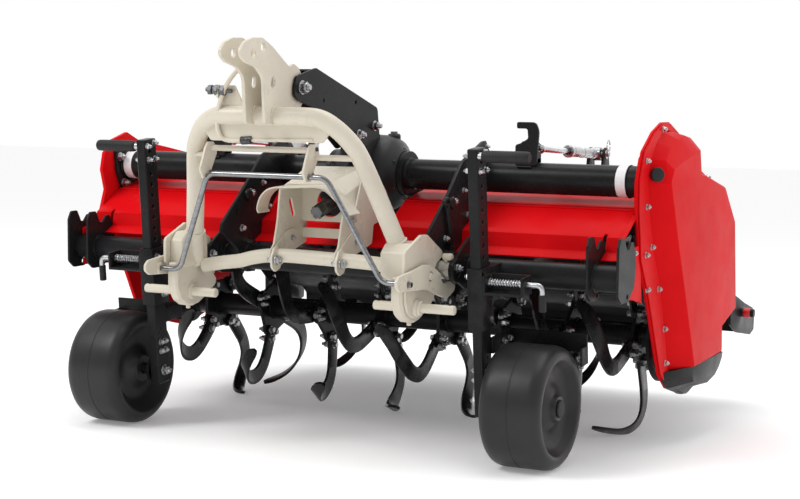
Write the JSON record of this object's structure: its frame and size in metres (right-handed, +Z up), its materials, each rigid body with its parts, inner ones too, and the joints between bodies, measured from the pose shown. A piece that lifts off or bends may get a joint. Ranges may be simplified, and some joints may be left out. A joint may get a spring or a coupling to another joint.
{
  "type": "rotary tiller",
  "caption": "Three-point-hitch rotary tiller: tine rotor under a red hood, side chain case, tubular hitch arch with mast, gauge wheels on height posts, hinged rear board.",
  "frame": {"origin": "middle of the whole machine's outer box, at the floor that its wheels and tines stand on", "axes": "+Z up; -Y is the tractor and hitch side; +X is the chain-case side"},
  "size_m": [1.594, 1.6946, 0.9806],
  "materials": {
    "red_paint": "gloss",
    "black_paint": "satin",
    "cream_paint": "satin",
    "bare_steel": "satin",
    "cast_case": "satin",
    "wheel_plastic": "satin"
  },
  "bodies": {
    "frame": {"chain_case": "red_paint", "chain_case_cover": "red_paint", "side_plate_left": "red_paint", "hood": "red_paint", "main_tube_left": "black_paint", "main_tube_right": "black_paint", "case_skid": "black_paint", "front_beam": "black_paint", "hook_bracket_left": "black_paint", "hook_bracket_right": "black_paint", "brace_left": "black_paint", "brace_right": "black_paint", "pin_bracket_left": "black_paint", "pin_bracket_right": "black_paint", "mast_stay": "black_paint", "post_sleeve_left": "black_paint", "post_sleeve_right": "black_paint", "strut_hook_left": "black_paint", "strut_hook_right": "black_paint", "mast_plates": "cream_paint", "hitch_arch": "cream_paint", "hitch_box_left": "cream_paint", "hitch_box_right": "cream_paint", "hitch_pin_left": "cream_paint", "hitch_pin_right": "cream_paint", "lower_cross_tube": "cream_paint", "release_yoke": "cream_paint", "input_shield": "cream_paint", "release_rod": "bare_steel", "latch_pin_left": "bare_steel", "latch_pin_right": "bare_steel", "gearbox": "cast_case"},
    "rotor": {"rotor_shaft": "black_paint", "tine_flange_1": "black_paint", "tine_flange_2": "black_paint", "tine_flange_3": "black_paint", "tine_flange_4": "black_paint", "tine_flange_5": "black_paint", "tine_flange_6": "black_paint", "tine_flange_7": "black_paint", "tine_flange_8": "black_paint"},
    "input_shaft": {"input_shaft": "bare_steel"},
    "gauge_post_left": {"gauge_post_left": "black_paint"},
    "gauge_post_right": {"gauge_post_right": "black_paint"},
    "gauge_wheel_left": {"gauge_wheel_left": "wheel_plastic"},
    "gauge_wheel_right": {"gauge_wheel_right": "wheel_plastic"},
    "rear_board": {"rear_board": "red_paint", "board_end_left": "black_paint", "board_end_right": "black_paint"},
    "strut_rod_left": {"strut_rod_left": "bare_steel"},
    "strut_rod_right": {"strut_rod_right": "bare_steel"},
    "strut_sleeve_left": {"strut_sleeve_left": "bare_steel"},
    "strut_sleeve_right": {"strut_sleeve_right": "bare_steel"}
  },
  "joints": [
    {"name": "rotor_spin", "type": "hinge", "parent": "frame", "child": "rotor", "pos_m": [-0.011, 0.14638, 0.26102], "axis": [1, 0, 0], "continuous": true},
    {"name": "input_spin", "type": "hinge", "parent": "frame", "child": "input_shaft", "pos_m": [0.009, -0.37471, 0.59606], "axis": [0, -0.9508, -0.3099], "continuous": true},
    {"name": "rear_board_hinge", "type": "hinge", "parent": "frame", "child": "rear_board", "pos_m": [-0.011, 0.28027, 0.62535], "axis": [1, 0, 0], "range_deg": [-8, 42]},
    {"name": "post_slide_left", "type": "slide", "parent": "frame", "child": "gauge_post_left", "axis": [0, -0.1228, 0.9924], "range_m": [-0.2, 0.02]},
    {"name": "wheel_spin_left", "type": "hinge", "parent": "gauge_post_left", "child": "gauge_wheel_left", "pos_m": [-0.5917, -0.40902, 0.1454], "axis": [1, 0, 0], "continuous": true},
    {"name": "strut_swing_left", "type": "hinge", "parent": "frame", "child": "strut_rod_left", "pos_m": [-0.463, -0.14024, 0.73972], "axis": [1, 0, 0], "range_deg": [-1, 1]},
    {"name": "strut_slide_left", "type": "slide", "parent": "strut_rod_left", "child": "strut_sleeve_left", "axis": [0, 0.9992, -0.04], "range_m": [-0.076, 0.016]},
    {"name": "post_slide_right", "type": "slide", "parent": "frame", "child": "gauge_post_right", "axis": [0, -0.1228, 0.9924], "range_m": [-0.2, 0.02]},
    {"name": "wheel_spin_right", "type": "hinge", "parent": "gauge_post_right", "child": "gauge_wheel_right", "pos_m": [0.5697, -0.40902, 0.1454], "axis": [1, 0, 0], "continuous": true},
    {"name": "strut_swing_right", "type": "hinge", "parent": "frame", "child": "strut_rod_right", "pos_m": [0.441, -0.14024, 0.73972], "axis": [1, 0, 0], "range_deg": [-1, 1]},
    {"name": "strut_slide_right", "type": "slide", "parent": "strut_rod_right", "child": "strut_sleeve_right", "axis": [0, 0.9992, -0.04], "range_m": [-0.076, 0.016]}
  ],
  "couplings": [
    {"joint": "input_spin", "follows": "rotor_spin", "ratio": 2.7},
    {"joint": "strut_swing_left", "follows": "rear_board_hinge", "ratio": 0.01},
    {"joint": "strut_slide_left", "follows": "rear_board_hinge", "m_per_rad": -0.099},
    {"joint": "strut_swing_right", "follows": "rear_board_hinge", "ratio": 0.01},
    {"joint": "strut_slide_right", "follows": "rear_board_hinge", "m_per_rad": -0.099}
  ]
}
